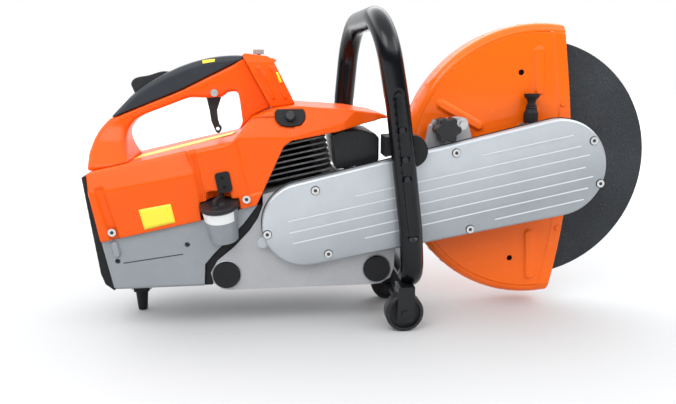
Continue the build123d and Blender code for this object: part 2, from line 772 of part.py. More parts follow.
# ---------------------------------------------------------------- rear handle, grip and filter cover
handle_y, handle_half = -3.5, 19.0
handle_near, handle_far = handle_y - handle_half, handle_y + handle_half
back_curve = [
    (-397, 219), (-399, 236), (-394, 255), (-386, 269), (-372, 284), (-355, 301), (-340, 315), (-297, 342),
    (-253, 359), (-192, 366),
]
inside_edge = [
    (-155, 296.3), (-180, 285.2), (-199, 263.8), (-194, 277), (-198, 313), (-200, 318), (-213, 317),
    (-221, 310), (-241, 309), (-265, 310), (-297, 298), (-327, 287), (-340, 280), (-350, 267), (-352, 250),
    (-346, 232), (-344.5, 226.9), (-394, 216.6),
]
grip_line = [(-368, 284), (-277, 320), (-190, 362)]
trigger_x, trigger_z = -231.0, 316.0
lock_x, lock_z = -290.0, 337.0


def handle_outline():
    """The closed side outline of the handle, with its grip."""
    with BuildSketch(mode=Mode.PRIVATE) as whole:
        with BuildLine():
            back = Spline(*back_curve)
            Polyline(back @ 1, *inside_edge, back @ 0)
        make_face()
    return whole.sketch


def grip_outline():
    """The band on top of the handle that the soft grip fills."""
    with BuildSketch(mode=Mode.PRIVATE) as band:
        Polygon(*grip_line, (-186, 380), (-380, 380), (-380, 284), align=None)
    return band.sketch


with BuildPart() as handle_foot:
    with BuildSketch(side(70)):
        outline(
            (-394, 216.6), (-397, 219), (-399, 236), (-394, 255), (-386, 269), (-372, 283), (-353, 283),
            (-352, 262), (-350.5, 248), (-346, 232), (-344.5, 226.9),
        )
    extrude(amount=140)
    with BuildSketch(Plane(origin=(-410, 0, 0), x_dir=(0, 1, 0), z_dir=(1, 0, 0))):
        outline(
            (-21, 288), (-24, 272), (-32, 254), (-48, 236), (-60, 224), (-63, 210), (52, 210), (49, 224),
            (38, 236), (24, 254), (17, 272), (14, 288),
        )
    extrude(amount=80, mode=Mode.INTERSECT)

with BuildPart() as rear_handle:
    with BuildSketch(side(handle_far)):
        add(handle_outline())
    extrude(amount=2 * handle_half)
    fillet(rear_handle.edges().filter_by(lambda edge: edge.length > 200), 8)
    add(handle_foot.part)
    with BuildSketch(side(handle_far + 5)):
        add(grip_outline())
    extrude(amount=2 * handle_half + 10, mode=Mode.SUBTRACT)
    with BuildSketch(side(handle_y + 4.6)):
        outline((-256, 304), (-250, 330), (-212, 330), (-208, 304))
    extrude(amount=9.2, mode=Mode.SUBTRACT)
    with BuildSketch(side(handle_far + 1)):
        with Locations((trigger_x, trigger_z)):
            Circle(2.5)
    extrude(amount=50, mode=Mode.SUBTRACT)
write(rear_handle.part, "rear_handle")

with BuildPart() as handle_grip:
    with BuildSketch(side(handle_far + 1)):
        add(handle_outline())
    extrude(amount=2 * handle_half + 2)
    fillet(handle_grip.edges().filter_by(lambda edge: edge.length > 200), 9)
    with BuildSketch(side(handle_far + 5)):
        add(grip_outline())
    extrude(amount=2 * handle_half + 10, mode=Mode.INTERSECT)
    with BuildSketch(side(handle_y + 8.5)):
        outline((-352, 350), (-350, 311), (-336, 298.5), (-284, 330), (-280, 352))
    extrude(amount=17, mode=Mode.SUBTRACT)
    with BuildSketch(side(handle_y + 11)):
        with Locations((lock_x, lock_z)):
            Circle(2.06)
    extrude(amount=22, mode=Mode.SUBTRACT)
write(handle_grip.part, "handle_grip")

with BuildPart() as filter_cover:
    with BuildSketch(side(handle_y + 32)):
        outline(
            (-192, 366.4), (-188, 369), (-159, 365.5), (-151, 361.5), (-148.5, 356), (-121.5, 301.2),
            (-150, 297.3), (-154.8, 296.7),
        )
    extrude(amount=64)
    with BuildSketch(Plane(origin=(-200, handle_y, 0), x_dir=(0, 1, 0), z_dir=(1, 0, 0))):
        outline((-32, 290), (-31, 340), (-28, 358), (-20, 370), (20, 370), (28, 358), (31, 340), (32, 290))
    extrude(amount=100, mode=Mode.INTERSECT)
    with BuildSketch(side(handle_y + 28)):
        outline((-172, 342), (-148, 343), (-128, 303), (-152, 300), (-160, 318))
    extrude(amount=56, mode=Mode.SUBTRACT)
    with BuildSketch(side(handle_y + 20)):
        outline((-181, 361), (-164, 359), (-155, 354), (-146, 336), (-172, 340))
    extrude(amount=40, mode=Mode.SUBTRACT)
    with BuildSketch(side(handle_y + 26)):
        outline((-162, 357), (-150, 356), (-145, 359), (-150, 362.5), (-161, 361.5))
    extrude(amount=52)
    for y in (handle_y + 34, handle_y - 31):
        for shift in (0, 17):
            with BuildSketch(side(y)):
                outline((-172 + shift, 351), (-168 + shift, 351), (-149 + shift, 308), (-153 + shift, 308))
            extrude(amount=3)
    with BuildSketch(Plane.XY.offset(372)):
        with Locations((-170, handle_y)):
            Circle(3.1)
    extrude(amount=-14, mode=Mode.SUBTRACT)
write(filter_cover.part, "filter_cover")

# ---------------------------------------------------------------- inside the housing
with BuildPart() as air_filter:
    with BuildSketch(side(handle_y + 24)):
        outline((-165, 338), (-150, 338), (-134, 305), (-148, 304), (-155, 318))
    extrude(amount=48)
    for i in range(7):
        with BuildSketch(side(handle_y + 21 - 7 * i)):
            outline((-155, 380), (-155, 330), (-120, 330), (-120, 380))
        extrude(amount=3, mode=Mode.SUBTRACT)
write(air_filter.part, "air_filter")

with BuildPart() as carburettor:
    with BuildSketch(Plane(origin=(-232, -8, 212), x_dir=(0, 1, 0), z_dir=(1, 0, 0))):
        RectangleRounded(46, 38, 4)
    extrude(amount=34)
    with BuildSketch(Plane(origin=(-198, -8, 212), x_dir=(0, 1, 0), z_dir=(1, 0, 0))):
        Circle(17)
    extrude(amount=8)
    with BuildSketch(Plane(origin=(-233, -8, 212), x_dir=(0, 1, 0), z_dir=(1, 0, 0))):
        Circle(11)
    extrude(amount=44, mode=Mode.SUBTRACT)
write(carburettor.part, "carburettor")

with BuildPart() as muffler:
    with BuildSketch(side(48)):
        outline((-68, 214), (-74, 261), (-62, 267), (-37, 268), (-14, 262), (-9, 256), (-9, 226), (-14, 221))
    extrude(amount=110)
    with BuildSketch(side(-61)):
        outline((-38, 200), (-36.6, 200), (-36.6, 275), (-38, 275))
    extrude(amount=3, mode=Mode.SUBTRACT)
    with BuildSketch(side(45)):
        outline((-64, 218), (-70, 258), (-61, 264), (-37, 265), (-16, 259), (-12, 254), (-12, 227))
    extrude(amount=104, mode=Mode.SUBTRACT)
    with BuildSketch(Plane(origin=(-12, 20, 240), x_dir=(0, 1, 0), z_dir=(1, 0, 0))):
        Circle(9)
        Circle(7, mode=Mode.SUBTRACT)
    extrude(amount=10)
write(muffler.part, "muffler")

with BuildPart() as flywheel:
    with BuildSketch(engine(88)):
        Circle(20)
    extrude(amount=15.5)
    with BuildSketch(engine(79)):
        Circle(46)
    extrude(amount=6)
    with BuildSketch(engine(88)):
        with PolarLocations(34, 16):
            Rectangle(20, 2.4)
    extrude(amount=10)
    with BuildSketch(engine(90)):
        Circle(8.5)
    extrude(amount=20, mode=Mode.SUBTRACT)
write(flywheel.part, "flywheel")

# ---------------------------------------------------------------- recoil starter, on the left
starter_face, starter_r, rope_r = 124.0, 58.0, 34.0
rope_x, rope_y = crank_x - rope_r, 102.0
with BuildPart() as starter_cover:
    with BuildSketch(engine(starter_face)):
        Circle(starter_r)
    extrude(amount=starter_face - case_far)
    fillet(starter_cover.faces().sort_by(Axis.Y)[-1].edges(), 6)
    with BuildSketch(engine(starter_face - 3)):
        Circle(starter_r - 3)
    extrude(amount=80, mode=Mode.SUBTRACT)
    with BuildSketch(engine(starter_face - 2)):
        Circle(6)
    extrude(amount=29)
    with BuildSketch(engine(starter_face + 1)):
        with PolarLocations(38, 16):
            SlotOverall(20, 5)
    extrude(amount=6, mode=Mode.SUBTRACT)
    with BuildSketch(Plane.XY.offset(crank_z + 30)):
        with Locations((rope_x, rope_y)):
            Circle(3)
    extrude(amount=30, mode=Mode.SUBTRACT)
write(starter_cover.part, "starter_cover")

with BuildPart() as starter_reel:
    with BuildSketch(engine(rope_y + 6)):
        Circle(rope_r + 5)
    extrude(amount=12)
    with BuildSketch(engine(rope_y + 3.2)):
        Circle(rope_r + 6)
        Circle(rope_r - 2.5, mode=Mode.SUBTRACT)
    extrude(amount=6.4, mode=Mode.SUBTRACT)
    with BuildSketch(engine(rope_y + 7)):
        Circle(6.05)
        with PolarLocations(20, 6):
            Circle(6)
    extrude(amount=14, mode=Mode.SUBTRACT)
write(starter_reel.part, "starter_reel")

grip_z = 207.0
with BuildPart() as starter_rope:
    with BuildSketch(Plane.XY.offset(crank_z)):
        with Locations((rope_x, rope_y)):
            Circle(1.7)
    extrude(amount=grip_z + 3 - crank_z)
write(starter_rope.part, "starter_rope")

with BuildPart() as starter_grip:
    with BuildSketch(Plane.XY.offset(grip_z)):
        with Locations((rope_x, rope_y)):
            SlotOverall(44, 17)
    extrude(amount=15)
    fillet(starter_grip.edges(), 3)
    with BuildSketch(Plane.XY.offset(grip_z - 8)):
        with Locations((rope_x, rope_y)):
            Circle(5)
    extrude(amount=8.5)
    with BuildSketch(Plane.XY.offset(grip_z - 9)):
        with Locations((rope_x, rope_y)):
            Circle(1.7)
    extrude(amount=12, mode=Mode.SUBTRACT)
write(starter_grip.part, "starter_grip")

# ---------------------------------------------------------------- front handle
channel_floor = -leg_y - grip_r + 5
with BuildPart() as front_handle:
    with BuildLine():
        FilletPolyline(
            (30, 34, 70), (30, -leg_y, 70), (26, -leg_y, 140), (6, -leg_y, 300), (-14, -leg_y, 414),
            (-26, leg_y, 414), (-38, leg_y, 290), (-36, leg_y, 122),
            radius=[28, 200, 200, 62, 62, 200],
        )
    with BuildSketch(Plane(origin=(30, 34, 70), x_dir=(1, 0, 0), z_dir=(0, -1, 0))):
        Circle(grip_r)
    sweep()
    lean = degrees(atan2(20, 160))
    with BuildSketch(side(channel_floor)):
        with Locations((15.4, 225)):
            SlotOverall(190, 9, rotation=90 + lean)
    extrude(amount=10, taper=-40, mode=Mode.SUBTRACT)
write(front_handle.part, "front_handle")

handle_bolt_places = [(9.3, 272.5), (14.0, 235), (17.2, 209.5)]
bracket_bolt_places = [(105, 274, 8.0, 4.6), (67, 277, 5.0, 3.6)]
with BuildPart() as hex_bolts:
    for x, z in handle_bolt_places:
        with BuildSketch(side(channel_floor)):
            with Locations((x, z)):
                Circle(3.8)
        extrude(amount=2.6)
        with BuildSketch(side(channel_floor - 2.1)):
            with Locations((x, z)):
                RegularPolygon(2.2, 6)
        extrude(amount=1.4, mode=Mode.SUBTRACT)
    for x, z, washer_r, head_r in bracket_bolt_places:
        with BuildSketch(side(-65.9)):
            with Locations((x, z)):
                Circle(washer_r)
        extrude(amount=1.6)
        with BuildSketch(side(-67.5)):
            with Locations((x, z)):
                RegularPolygon(head_r, 6)
        extrude(amount=3.4)
write(hex_bolts.part, "hex_bolts")

with BuildPart() as buffer_mounts:
    with BuildSketch(side(cover_face - 0.5)):
        with Locations((27, 243)):
            Circle(22)
    extrude(amount=9.5, taper=6)
    with BuildSketch(side(arm_back - 2)):
        outline((-8, 236), (-8, 262), (24, 264), (30, 244.5))
    extrude(amount=arm_back - 2 - cover_face + 8)
    with BuildSketch(side(98)):
        with Locations((-37, 150)):
            Circle(15.5)
    extrude(amount=28)
    add(front_handle.part, mode=Mode.SUBTRACT)
write(buffer_mounts.part, "buffer_mounts")

# ---------------------------------------------------------------- guide wheels and rear foot
near_wheel_y, far_wheel_y, wheel_w = -104.0, 21.0, 20.0
axle_r = 5.0
with BuildPart() as wheel_bracket:
    with BuildSketch(side(30)):
        with Locations((wheel_x, wheel_r)):
            Circle(axle_r)
    extrude(amount=30 + 130)
    for plate_y in (-125.6, 26.0):
        with BuildSketch(side(plate_y)):
            outline(
                (wheel_x - 10, 14), (wheel_x + 10, 14), (wheel_x + 12, 22), (wheel_x + 12, 64),
                (wheel_x - 10, 64), (wheel_x - 12, 22),
            )
        extrude(amount=3)
    with BuildSketch(side(-100)):
        outline((wheel_x - 10, 54), (wheel_x + 12, 54), (wheel_x + 12, 64), (wheel_x - 10, 64))
    extrude(amount=28)
    with BuildSketch(side(-98)):
        with Locations((wheel_x, wheel_r)):
            Circle(8)
    extrude(amount=5.6)
    with BuildSketch(side(-5)):
        with Locations((wheel_x, wheel_r)):
            Circle(8)
    extrude(amount=4)
    with BuildSketch(side(-128.6)):
        with Locations((wheel_x, wheel_r)):
            RegularPolygon(6.4, 6)
    extrude(amount=1.9)
    add(front_handle.part, mode=Mode.SUBTRACT)
write(wheel_bracket.part, "wheel_bracket")

for y_far, name in ((near_wheel_y, "guide_wheel_near"), (far_wheel_y, "guide_wheel_far")):
    axis_plane = Plane(origin=(wheel_x, y_far, wheel_r), x_dir=(1, 0, 0), z_dir=(0, -1, 0))
    with BuildPart() as guide_wheel:
        with BuildSketch(axis_plane):
            Circle(wheel_r)
        extrude(amount=wheel_w)
        fillet(guide_wheel.edges(), 3)
        for depth in (-0.1, wheel_w - 4.9):
            with BuildSketch(axis_plane.offset(depth)):
                Circle(wheel_r - 5)
                Circle(10, mode=Mode.SUBTRACT)
            extrude(amount=5, mode=Mode.SUBTRACT)
        with BuildSketch(axis_plane.offset(-1)):
            Circle(axle_r + 0.06)
        extrude(amount=wheel_w + 2, mode=Mode.SUBTRACT)
    write(guide_wheel.part, name)

foot_x, foot_y = -349.0, 0.0
with BuildPart() as rear_foot:
    with BuildSketch(Plane.XY):
        with Locations((foot_x, foot_y)):
            Circle(6.5)
    extrude(amount=32, taper=-5)
    fillet(rear_foot.edges().sort_by(Axis.Z)[0], 1.5)
    with BuildSketch(Plane.XY.offset(30)):
        with Locations((foot_x + 1, foot_y)):
            RectangleRounded(22, 24, 4)
    extrude(amount=30)
write(rear_foot.part, "rear_foot")

with BuildPart() as foot_bracket:
    with BuildSketch(Plane.XY.offset(60)):
        with Locations((foot_x + 11.5, foot_y)):
            Rectangle(50, 30)
        with Locations((foot_x + 1, foot_y)):
            Rectangle(22.6, 24.6, mode=Mode.SUBTRACT)
    extrude(amount=-2.5)
    for x in (foot_x - 13.5, foot_x + 12.5):
        with BuildSketch(Plane(origin=(x, 0, 0), x_dir=(0, 1, 0), z_dir=(1, 0, 0))):
            outline((-15, 59), (-15, 50), (-6, 32), (6, 32), (15, 50), (15, 59))
        extrude(amount=2.5)
    with BuildSketch(Plane.XY.offset(57.5)):
        with Locations((foot_x + 27, foot_y)):
            RegularPolygon(5.5, 6)
    extrude(amount=-4)
write(foot_bracket.part, "foot_bracket")

# ---------------------------------------------------------------- controls
with BuildPart() as throttle_trigger:
    with BuildSketch(side(handle_y + 4)):
        with BuildLine():
            Polyline((-246, 318), (-243, 307), (-240, 292), (-238, 276), (-233, 263))
            Spline((-233, 263), (-228, 259.5), (-224.5, 264), (-227, 271))
            Polyline((-227, 271), (-229, 280), (-229.5, 292), (-224, 307), (-222, 318))
            RadiusArc((-222, 318), (-246, 318), -14)
        make_face()
        with Locations((trigger_x, trigger_z)):
            Circle(2.56, mode=Mode.SUBTRACT)
        with Locations((-229.5, 265.5)):
            Circle(2.6, mode=Mode.SUBTRACT)
    extrude(amount=8)
write(throttle_trigger.part, "throttle_trigger")

with BuildPart() as trigger_pin:
    with BuildSketch(side(handle_far - 2)):
        with Locations((trigger_x, trigger_z)):
            Circle(2.5)
    extrude(amount=2 * handle_half - 2)
    with BuildSketch(side(handle_near)):
        with Locations((trigger_x, trigger_z)):
            Circle(5)
    extrude(amount=2)
    with BuildSketch(side(handle_near - 1)):
        with Locations((trigger_x, trigger_z)):
            Rectangle(8, 1.2)
    extrude(amount=2, mode=Mode.SUBTRACT)
write(trigger_pin.part, "trigger_pin")

with BuildPart() as throttle_lock:
    with BuildSketch(side(handle_y + 8)):
        with BuildLine():
            Polyline((-338.5, 314), (-343.5, 327))
            Spline((-343.5, 327), (-341, 333), (-320, 339.5), (-298, 345), (-287, 342))
            Polyline((-287, 342), (-286, 333.5), (-300, 328), (-338.5, 314))
        make_face()
    extrude(amount=16)
    with BuildSketch(side(handle_y + 10)):
        with Locations((lock_x, lock_z)):
            Circle(2)
    extrude(amount=20)
write(throttle_lock.part, "throttle_lock")

with BuildPart() as decompression_plate:
    with BuildSketch(plate_plane.offset(-3.5)):
        add(plate_outline())
        Circle(6.4, mode=Mode.SUBTRACT)
    extrude(amount=5.5)
write(decompression_plate.part, "decompression_plate")

with BuildPart() as decompression_button:
    with BuildSketch(plate_plane.offset(-8)):
        Circle(6)
    extrude(amount=17)
    fillet(decompression_button.edges().sort_by(Axis.Y)[0], 1.5)
write(decompression_button.part, "decompression_button")

with BuildPart() as carburettor_plug:
    with BuildSketch(side(face_near)):
        with Locations(grommet):
            RectangleRounded(19, 27, 4, rotation=10)
            with Locations((-1.5, 6), (1.5, -6)):
                Circle(2.4, mode=Mode.SUBTRACT)
    extrude(amount=2)
    with BuildSketch(side(face_near)):
        with Locations(grommet):
            Rectangle(15, 22, rotation=10)
    extrude(amount=-4)
write(carburettor_plug.part, "carburettor_plug")

screws = [(x, cover_face + 1.5, z, 12.9) for x, z in cover_screw_places]
screws += [(x, face_near, z, 4.2) for x, z in housing_screw_places]
with BuildPart() as panel_screws:
    for x, y, z, shank in screws:
        with BuildSketch(side(y)):
            with Locations((x, z)):
                Circle(5.2)
        extrude(amount=3.2)
        with BuildSketch(side(y)):
            with Locations((x, z)):
                Circle(2.4)
        extrude(amount=-shank)
        with BuildSketch(side(y - 2)):
            with Locations((x, z)):
                RegularPolygon(2.6, 6)
        extrude(amount=3, mode=Mode.SUBTRACT)
write(panel_screws.part, "panel_screws")

with BuildPart() as filter_cover_screw:
    with BuildSketch(Plane.XY.offset(368)):
        with Locations((-170, handle_y)):
            Circle(7.5)
            with PolarLocations(7.5, 12):
                Circle(0.9, mode=Mode.SUBTRACT)
    extrude(amount=6)
    with BuildSketch(Plane.XY.offset(368)):
        with Locations((-170, handle_y)):
            Circle(3)
    extrude(amount=-8)
write(filter_cover_screw.part, "filter_cover_screw")

with BuildPart() as choke_lever:
    with BuildSketch(side(face_far + 4.4)):
        with Locations((choke_x, choke_z)):
            Circle(8)
            with Locations((-12, 0)):
                SlotOverall(28, 8)
    extrude(amount=4)
    with BuildSketch(side(face_far + 9)):
        with Locations((choke_x - 20, choke_z)):
            Circle(4)
    extrude(amount=6)
    with BuildSketch(side(face_far + 1)):
        with Locations((choke_x, choke_z)):
            Circle(3)
    extrude(amount=10)
write(choke_lever.part, "choke_lever")

with BuildPart() as stop_switch:
    with BuildSketch(side(face_far + 5.4)):
        with Locations((stop_x, stop_z)):
            RectangleRounded(18, 12, 2)
    extrude(amount=5)
    with BuildSketch(side(face_far + 1)):
        with Locations((stop_x, stop_z)):
            RectangleRounded(12, 4.4, 1)
    extrude(amount=8)
write(stop_switch.part, "stop_switch")
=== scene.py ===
"""Looks of the petrol rescue saw: materials, rounded mouldings and small surface details,
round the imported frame."""
import json
import math

import bmesh
import bpy
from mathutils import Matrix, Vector


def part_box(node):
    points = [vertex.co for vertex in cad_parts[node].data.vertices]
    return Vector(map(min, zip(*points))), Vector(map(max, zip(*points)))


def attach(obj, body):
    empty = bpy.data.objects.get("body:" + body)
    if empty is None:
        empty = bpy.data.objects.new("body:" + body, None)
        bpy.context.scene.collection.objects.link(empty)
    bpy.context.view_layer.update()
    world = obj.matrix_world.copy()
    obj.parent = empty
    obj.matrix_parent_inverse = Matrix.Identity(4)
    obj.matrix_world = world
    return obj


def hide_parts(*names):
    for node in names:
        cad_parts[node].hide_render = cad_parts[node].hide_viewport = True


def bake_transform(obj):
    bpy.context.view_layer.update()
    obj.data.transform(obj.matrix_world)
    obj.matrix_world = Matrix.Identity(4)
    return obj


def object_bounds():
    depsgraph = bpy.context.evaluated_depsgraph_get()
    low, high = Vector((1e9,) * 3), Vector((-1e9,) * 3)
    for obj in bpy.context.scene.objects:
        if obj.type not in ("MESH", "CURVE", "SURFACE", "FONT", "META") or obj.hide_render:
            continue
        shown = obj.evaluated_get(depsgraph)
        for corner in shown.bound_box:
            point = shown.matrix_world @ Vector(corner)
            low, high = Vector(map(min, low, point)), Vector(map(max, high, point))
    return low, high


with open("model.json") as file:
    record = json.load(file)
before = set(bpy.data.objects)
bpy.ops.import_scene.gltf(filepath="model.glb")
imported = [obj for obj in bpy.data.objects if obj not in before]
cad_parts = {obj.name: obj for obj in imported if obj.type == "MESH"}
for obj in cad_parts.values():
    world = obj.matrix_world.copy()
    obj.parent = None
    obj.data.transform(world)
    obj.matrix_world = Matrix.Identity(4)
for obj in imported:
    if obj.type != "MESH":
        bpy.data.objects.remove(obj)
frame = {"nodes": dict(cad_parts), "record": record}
nodes = frame["nodes"]
cad_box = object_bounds()
slot_of = {row["node"]: row["material_slot"] for row in frame["record"]["subparts"]}
body_of = {
    node: body
    for body, members in frame["record"]["behaviour"]["bodies"].items()
    for node in members
}

# side view places (x, z)
CRANK, ARBOR = (-0.113, 0.1455), (0.225, 0.214)
ARM_TILT = math.atan2(ARBOR[1] - CRANK[1], ARBOR[0] - CRANK[0])


def deck_height(x):
    """The height of the housing's sloping top under the rear handle."""
    return 0.226 + (x + 0.348) * 0.2241


# ---------------------------------------------------------------- camera, floor and light
AZIMUTH, ELEVATION = math.radians(-6), math.radians(12)
back = Vector((
    math.sin(AZIMUTH) * math.cos(ELEVATION),
    -math.cos(AZIMUTH) * math.cos(ELEVATION),
    math.sin(ELEVATION),
))
camera = bpy.data.objects.new("camera", bpy.data.cameras.new("camera"))
camera.data.sensor_width = 36
camera.data.lens = 34.6
camera.data.clip_start = 0.01
camera.location = (-0.157, -0.9345, 0.3547)
camera.rotation_mode = "QUATERNION"
camera.rotation_quaternion = (-back).to_track_quat("-Z", "Y")
bpy.context.scene.collection.objects.link(camera)
bpy.context.scene.camera = camera
bpy.context.scene.view_settings.view_transform = "Standard"


def studio_world():
    """A white backdrop that lights the scene like a room: dim in front, white behind, and a ring
    of bright panels above, round a softer ceiling."""
    world = bpy.data.worlds.new("studio")
    world.use_nodes = True
    tree = world.node_tree
    room = tree.nodes["Background"]
    room.inputs["Color"].default_value = (0.96, 0.98, 1.0, 1)
    place = tree.nodes.new("ShaderNodeTexCoord")
    apart = tree.nodes.new("ShaderNodeSeparateXYZ")
    tree.links.new(place.outputs["Generated"], apart.inputs[0])
    level = None
    for output, first, last, start, stop in (
        (2, 0.36, 0.46, 0.14, 2.9),
        (2, 0.60, 0.80, 0.0, -1.5),
        (1, 0.10, 0.50, 0.0, 0.9),
    ):
        share = tree.nodes.new("ShaderNodeMapRange")
        for key, value in (("From Min", first), ("From Max", last), ("To Min", start), ("To Max", stop)):
            share.inputs[key].default_value = value
        tree.links.new(apart.outputs[output], share.inputs["Value"])
        if level:
            both = tree.nodes.new("ShaderNodeMath")
            tree.links.new(level, both.inputs[0])
            tree.links.new(share.outputs[0], both.inputs[1])
            level = both.outputs[0]
        else:
            level = share.outputs[0]
    tree.links.new(level, room.inputs["Strength"])
    backdrop = tree.nodes.new("ShaderNodeBackground")
    backdrop.inputs["Color"].default_value = (1, 1, 1, 1)
    backdrop.inputs["Strength"].default_value = 1.0
    seen_first = tree.nodes.new("ShaderNodeLightPath")
    either = tree.nodes.new("ShaderNodeMixShader")
    tree.links.new(seen_first.outputs["Is Camera Ray"], either.inputs[0])
    tree.links.new(room.outputs[0], either.inputs[1])
    tree.links.new(backdrop.outputs[0], either.inputs[2])
    tree.links.new(either.outputs[0], tree.nodes["World Output"].inputs["Surface"])
    bpy.context.scene.world = world


studio_world()


def softbox(name, at, towards, size, watts, tint=(1, 1, 1)):
    """A rectangular lamp at one point, turned towards another."""
    data = bpy.data.lights.new(name, "AREA")
    data.shape = "RECTANGLE"
    data.size, data.size_y = size
    data.energy = watts
    data.color = tint
    lamp = bpy.data.objects.new(name, data)
    lamp.location = at
    lamp.rotation_mode = "QUATERNION"
    lamp.rotation_quaternion = (Vector(towards) - Vector(at)).to_track_quat("-Z", "Y")
    bpy.context.scene.collection.objects.link(lamp)


softbox("light_key", (-0.50, -0.70, 1.02), (0, 0, 0.2), (0.55, 0.45), 3.4)
softbox("light_side", (1.0, -0.55, 1.15), (0.1, 0, 0.2), (0.5, 0.5), 2.0)


# ---------------------------------------------------------------- materials
class Finish:
    """One procedural material. Distances are metres, so that a grain's scale is its true size."""

    def __init__(self, name, rough=0.5, metallic=0.0, **sockets):
        self.material = bpy.data.materials.new(name)
        self.material.use_nodes = True
        self.tree = self.material.node_tree
        self.shader = self.tree.nodes["Principled BSDF"]
        self.shader.inputs["Metallic"].default_value = metallic
        self.shader.inputs["Roughness"].default_value = rough
        for socket, value in sockets.items():
            self.shader.inputs[socket.replace("_", " ")].default_value = value
        self.place = self.add("ShaderNodeTexCoord").outputs["Object"]
        self.normal = None

    def add(self, kind, inputs=None, **settings):
        node = self.tree.nodes.new(kind)
        for key, value in settings.items():
            setattr(node, key, value)
        for key, value in (inputs or {}).items():
            if isinstance(value, bpy.types.NodeSocket):
                self.tree.links.new(value, node.inputs[key])
            else:
                node.inputs[key].default_value = value
        return node

    def stretched(self, scale, turn=(0, 0, 0)):
        inputs = {"Vector": self.place, "Scale": scale, "Rotation": turn}
        return self.add("ShaderNodeMapping", inputs).outputs[0]

    def noise(self, size, detail=3.0, place=None, roughness=0.55):
        node = self.add("ShaderNodeTexNoise", {
            "Vector": place or self.place, "Scale": 1 / size, "Detail": detail, "Roughness": roughness,
        })
        return node.outputs[0]

    def cells(self, size, feature="F1", place=None):
        inputs = {"Vector": place or self.place, "Scale": 1 / size}
        return self.add("ShaderNodeTexVoronoi", inputs, feature=feature).outputs["Distance"]

    def between(self, value, low, high, to_low=0.0, to_high=1.0):
        node = self.add("ShaderNodeMapRange", {
            "Value": value, "From Min": low, "From Max": high, "To Min": to_low, "To Max": to_high,
        })
        return node.outputs[0]

    def mix(self, share, first, second):
        node = self.add("ShaderNodeMix", {"Factor": share}, data_type="RGBA")
        for socket, value in ((node.inputs[6], first), (node.inputs[7], second)):
            if isinstance(value, bpy.types.NodeSocket):
                self.tree.links.new(value, socket)
            else:
                socket.default_value = (*value, 1)
        return node.outputs[2]

    def colour(self, socket):
        self.tree.links.new(socket, self.shader.inputs["Base Color"])

    def roughness(self, socket):
        self.tree.links.new(socket, self.shader.inputs["Roughness"])

    def bump(self, height, depth, strength=1.0):
        inputs = {"Height": height, "Distance": depth, "Strength": strength}
        if self.normal:
            inputs["Normal"] = self.normal
        self.normal = self.add("ShaderNodeBump", inputs).outputs[0]
        self.tree.links.new(self.normal, self.shader.inputs["Normal"])


def moulded(name, tint, rough=0.4, grain=0.0007, depth=0.00004, mottle=0.06, dust=0.04, **sockets):
    """Plastic, paint or rubber: slow colour drift, a fine grain and dust in patches."""
    made = Finish(name, rough, **sockets)
    drift = made.between(made.noise(0.09, 4), 0.3, 0.7)
    light = tuple(min(1, c * (1 + mottle)) for c in tint)
    dark = tuple(c * (1 - mottle) for c in tint)
    paint = made.mix(drift, dark, light)
    patches = made.between(made.noise(0.035, 6, roughness=0.7), 0.56, 0.8, 0, dust)
    made.colour(made.mix(patches, paint, (0.42, 0.40, 0.37)))
    made.roughness(made.between(made.noise(0.02, 5, roughness=0.65), 0.25, 0.75, rough * 0.82, rough * 1.2))
    made.bump(made.noise(grain, 2), depth)
    return made


def metal(name, tint, rough=0.3, metallic=1.0, grain=0.0006, depth=0.00002, stretch=(1, 1, 1), **sockets):
    """Bare, plated or silver-painted metal: grain, faint stains and flakes."""
    made = Finish(name, rough, metallic, **sockets)
    stain = made.between(made.noise(0.05, 5, roughness=0.7), 0.35, 0.75)
    light = tuple(min(1, c * 1.06) for c in tint)
    dark = tuple(c * 0.86 for c in tint)
    flakes = made.between(made.noise(grain, 2, made.stretched(stretch)), 0.35, 0.65)
    made.colour(made.mix(flakes, made.mix(stain, light, dark), light))
    made.roughness(made.between(made.noise(0.015, 5, roughness=0.7), 0.25, 0.75, rough * 0.8, rough * 1.25))
    made.bump(made.noise(grain, 3, made.stretched(stretch)), depth)
    return made


def abrasive_finish():
    """Resin-bonded grit: dark, with light and black grains and a glass mesh just under the surface."""
    made = Finish("abrasive", 0.82, Specular_IOR_Level=0.3)
    grit = made.noise(0.0013, 3, roughness=0.7)
    base = made.mix(made.between(made.noise(0.06, 4), 0.3, 0.7), (0.030, 0.033, 0.038), (0.042, 0.046, 0.052))
    sparks = made.between(made.cells(0.0021), 0.10, 0.20, 1, 0)
    keep = made.between(made.noise(0.004, 2), 0.5, 0.62, 0, 0.55)
    share = made.add("ShaderNodeMath", {0: sparks, 1: keep}, operation="MULTIPLY").outputs[0]
    pits = made.between(grit, 0.36, 0.5, 0.75, 0)
    made.colour(made.mix(pits, made.mix(share, base, (0.34, 0.35, 0.36)), (0.012, 0.012, 0.014)))
    made.bump(grit, 0.0004)
    made.bump(made.cells(0.0030), 0.00015)
    return made


def pleated_finish():
    """Cream filter paper with fine creases."""
    made = Finish("paper", 0.85)
    made.colour(made.mix(made.noise(0.004, 6), (0.80, 0.74, 0.58), (0.70, 0.63, 0.47)))
    made.bump(made.noise(0.0008, 4), 0.0002)
    return made


def braided_finish():
    """Braided cord: two sets of slanting strands and a fleck."""
    made = Finish("nylon", 0.6)
    spun = made.stretched((1, 1, 0.5), (0.6, 0.2, 0))
    strands = made.cells(0.0016, place=spun)
    made.colour(made.mix(made.between(strands, 0.2, 0.6), (0.85, 0.85, 0.82), (0.42, 0.42, 0.40)))
    made.bump(strands, 0.0004)
    return made


